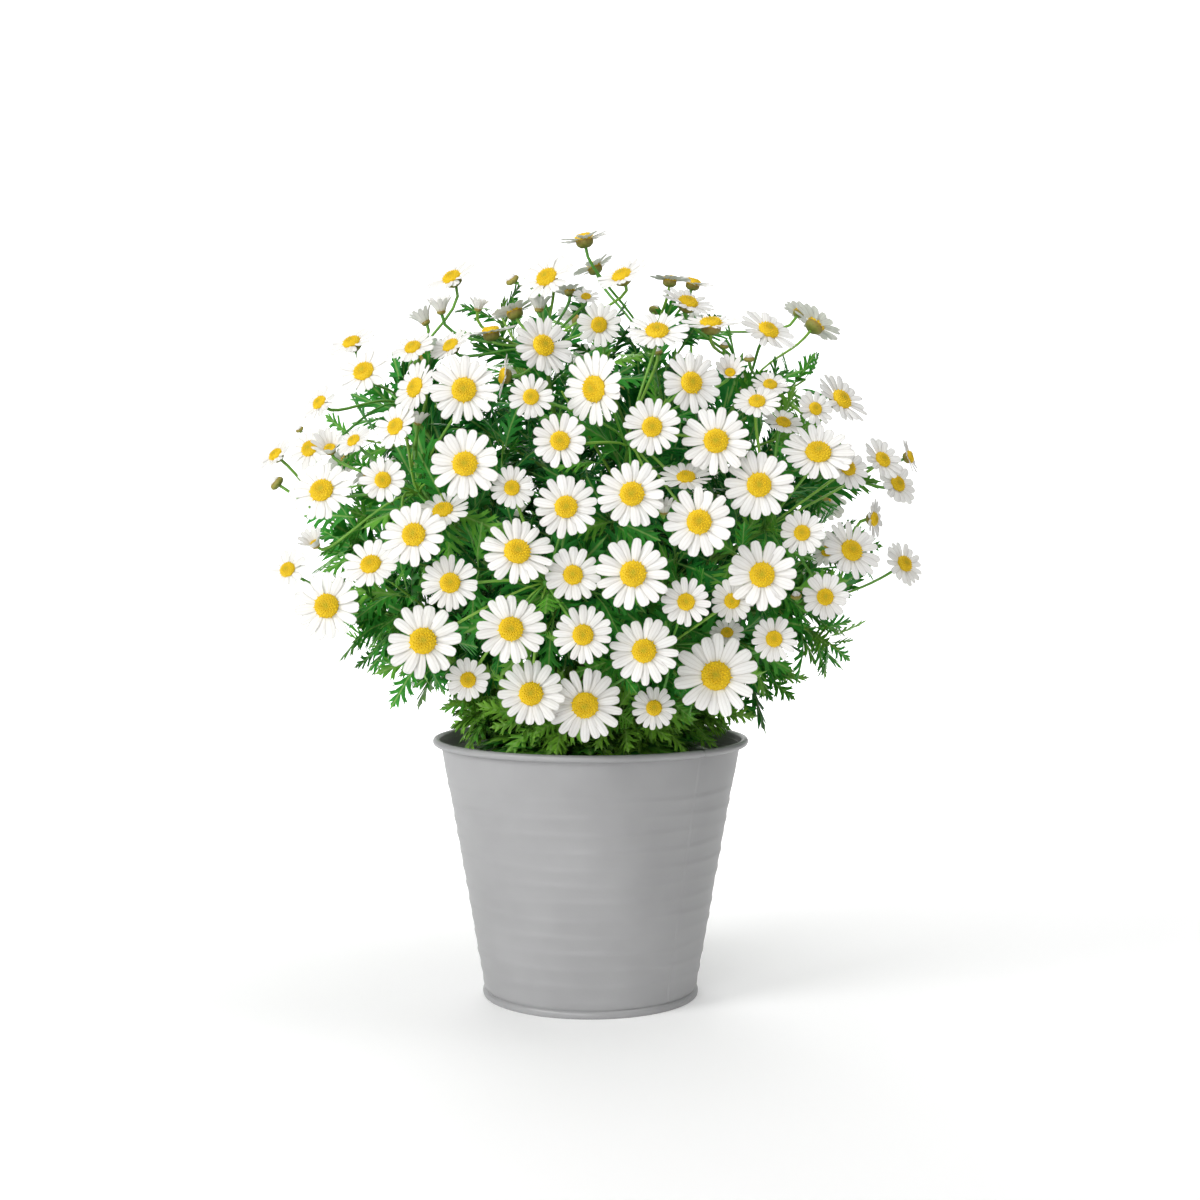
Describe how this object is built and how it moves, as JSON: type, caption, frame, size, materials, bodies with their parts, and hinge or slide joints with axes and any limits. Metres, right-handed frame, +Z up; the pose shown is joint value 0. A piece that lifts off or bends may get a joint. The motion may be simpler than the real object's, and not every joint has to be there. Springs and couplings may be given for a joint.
{
  "type": "potted marguerite daisy",
  "caption": "Round bush of white, yellow-centred daisy flowers and cut green leaves that fills a tapered, ribbed grey metal pot; stands on the pot's flat base.",
  "frame": {"origin": "middle of the pot's flat underside", "axes": "+Z up along the pot's axis; the side towards -Y is the one that the picture shows"},
  "size_m": [0.4455, 0.3992, 0.5046],
  "materials": {
    "pot_steel": "satin grey powder coat on sheet steel",
    "soil": "matt, crumbly, moist potting compost of peat and bark fibre",
    "bark": "matt, finely fissured young bark",
    "foliage": "soft sheen of thin green leaf tissue",
    "flowers": "matt white ray petals round a granular yellow disc, green cup and stalk"
  },
  "bodies": {
    "root": {"pot_wall": "pot_steel", "pot_base": "pot_steel", "soil": "soil", "woody_base": "bark", "flower_spray_03": "flowers", "flower_spray_04": "flowers", "flower_spray_05": "flowers", "flower_spray_06": "flowers", "flower_spray_07": "flowers", "flower_spray_08": "flowers", "flower_spray_09": "flowers", "flower_spray_10": "flowers", "flower_spray_11": "flowers", "flower_spray_12": "flowers", "flower_spray_13": "flowers", "flower_spray_14": "flowers", "flower_spray_15": "flowers", "flower_spray_16": "flowers", "flower_spray_17": "flowers", "flower_spray_18": "flowers", "flower_spray_19": "flowers", "flower_spray_20": "flowers", "flower_spray_21": "flowers", "flower_spray_22": "flowers", "flower_spray_24": "flowers", "leafy_shoot_01": "foliage", "leafy_shoot_02": "foliage", "leafy_shoot_03": "foliage", "leafy_shoot_04": "foliage", "leafy_shoot_05": "foliage", "leafy_shoot_06": "foliage", "leafy_shoot_07": "foliage", "leafy_shoot_08": "foliage", "leafy_shoot_09": "foliage", "leafy_shoot_10": "foliage", "leafy_shoot_11": "foliage", "leafy_shoot_12": "foliage", "leafy_shoot_13": "foliage", "leafy_shoot_14": "foliage", "leafy_shoot_15": "foliage", "leafy_shoot_16": "foliage", "leafy_shoot_17": "foliage", "leafy_shoot_18": "foliage", "leafy_shoot_19": "foliage", "leafy_shoot_20": "foliage", "leafy_shoot_21": "foliage", "leafy_shoot_22": "foliage", "leafy_shoot_23": "foliage", "leafy_shoot_24": "foliage", "leafy_shoot_25": "foliage", "leafy_shoot_26": "foliage", "leafy_shoot_27": "foliage", "leafy_shoot_28": "foliage", "leafy_shoot_29": "foliage"}
  },
  "joints": []
}
